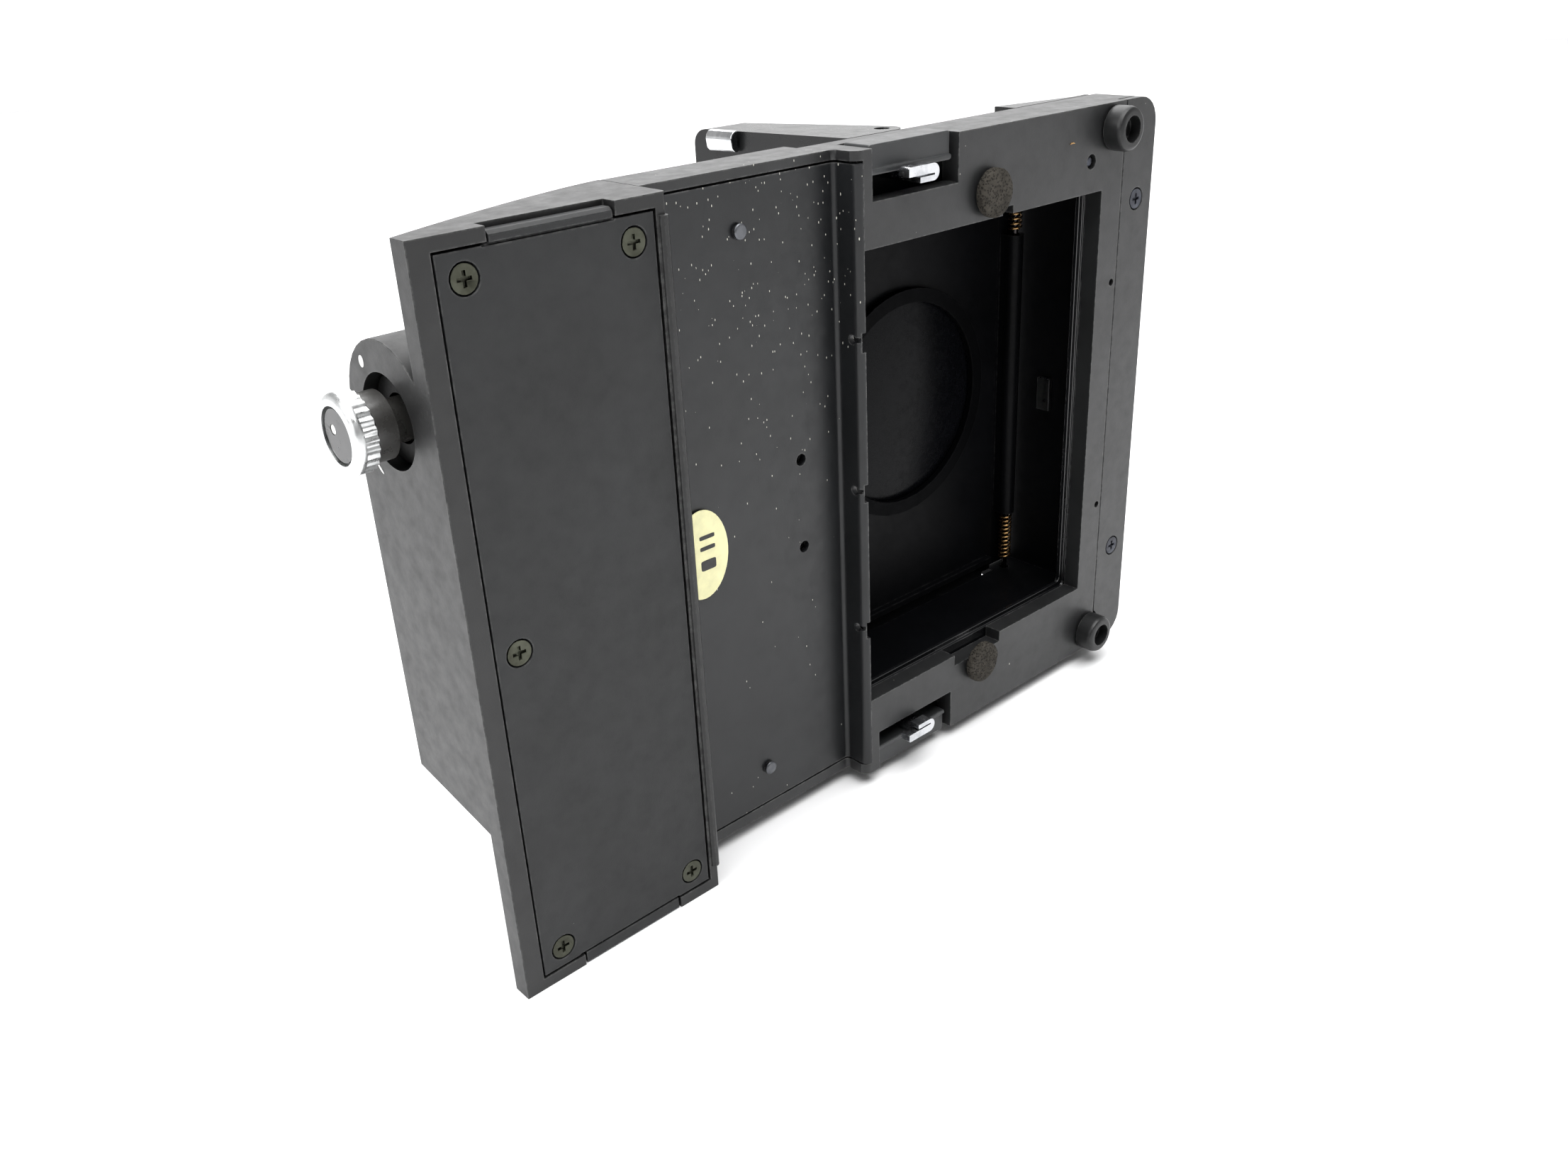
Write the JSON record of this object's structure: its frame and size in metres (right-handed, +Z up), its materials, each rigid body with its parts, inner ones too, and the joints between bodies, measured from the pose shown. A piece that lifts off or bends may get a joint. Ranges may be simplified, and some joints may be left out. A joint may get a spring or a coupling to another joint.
{
  "type": "detachable focusing hood",
  "caption": "Camera-mounted focusing hood frame with a metering end housing, selector knob, sprung latches, folding magnifier and hinged lid.",
  "frame": {"origin": "middle of the footprint at the lowest face, with the hood standing on its long side", "axes": "+X along the body, away from the selector knob; +Y from the face that meets the camera to the back; +Z up"},
  "size_m": [0.1404, 0.0406, 0.0988],
  "materials": {
    "paint": "satin",
    "sheet": "semi-gloss",
    "chrome": "polished",
    "steel": "satin",
    "dark_screw": "satin",
    "brass": "satin",
    "foam": "matte",
    "label": "matte",
    "black_plastic": "gloss",
    "lens": "polished",
    "board": "satin"
  },
  "bodies": {
    "frame": {"base_casting": "paint", "end_strip": "paint", "end_housing": "paint", "end_cover": "paint", "hood_seat": "paint", "transition_plate": "sheet", "middle_back_cover": "sheet", "screen_frame": "sheet", "rear_shroud": "sheet", "transition_rivet_upper": "steel", "transition_rivet_lower": "steel", "end_strip_screw_upper": "steel", "end_strip_screw_lower": "steel", "locating_pin": "steel", "light_cell": "steel", "panel_hinge_rod": "steel", "lid_pivot_upper": "steel", "lid_pivot_lower": "steel", "meter_movement": "steel", "battery_cell": "steel", "middle_screw_1": "steel", "middle_screw_2": "steel", "middle_screw_3": "steel", "middle_screw_4": "steel", "seat_screw_1": "steel", "seat_screw_2": "steel", "seat_screw_3": "steel", "seat_screw_4": "steel", "end_cover_screw_1": "dark_screw", "end_cover_screw_2": "dark_screw", "end_cover_screw_3": "dark_screw", "end_cover_screw_4": "dark_screw", "end_cover_screw_5": "dark_screw", "panel_spring_lower": "brass", "panel_spring_upper": "brass", "battery_clip": "brass", "foam_pad_upper": "foam", "foam_pad_lower": "foam", "check_label": "label", "locating_foot_upper": "black_plastic", "locating_foot_lower": "black_plastic", "selector_bushing": "black_plastic", "selector_switch": "black_plastic", "circuit_board": "board"},
    "selector": {"selector_shaft": "black_plastic", "selector_ring": "chrome", "selector_inlay": "black_plastic"},
    "latch_upper": {"release_button_upper": "sheet", "latch_hook_upper": "chrome"},
    "latch_lower": {"release_button_lower": "sheet", "latch_hook_lower": "chrome"},
    "lid": {"hood_lid": "sheet", "lid_catch": "chrome"},
    "magnifier": {"magnifier_panel": "sheet", "lens_ring": "black_plastic", "magnifier_lens": "lens", "magnifier_leaf": "sheet"}
  },
  "joints": [
    {"name": "selector_turn", "type": "hinge", "parent": "frame", "child": "selector", "pos_m": [-0.0653, -0.0078, 0.07735], "axis": [1, 0, 0], "range_deg": [-64, 38]},
    {"name": "latch_upper_slide", "type": "slide", "parent": "frame", "child": "latch_upper", "axis": [0, 0, 1], "range_m": [-0.0014, 0], "stiffness_N_per_m": 1500, "springref_m": 0.0003},
    {"name": "latch_lower_slide", "type": "slide", "parent": "frame", "child": "latch_lower", "axis": [0, 0, 1], "range_m": [0, 0.0014], "stiffness_N_per_m": 1500, "springref_m": -0.0003},
    {"name": "hood_lid_hinge", "type": "hinge", "parent": "frame", "child": "lid", "pos_m": [0.019, -0.0048, 0.0505], "axis": [0, 0, 1], "range_deg": [-99, 0]},
    {"name": "magnifier_hinge", "type": "hinge", "parent": "frame", "child": "magnifier", "pos_m": [0.057, 0.0005, 0.0505], "axis": [0, 0, -1], "range_deg": [0, 88]}
  ]
}
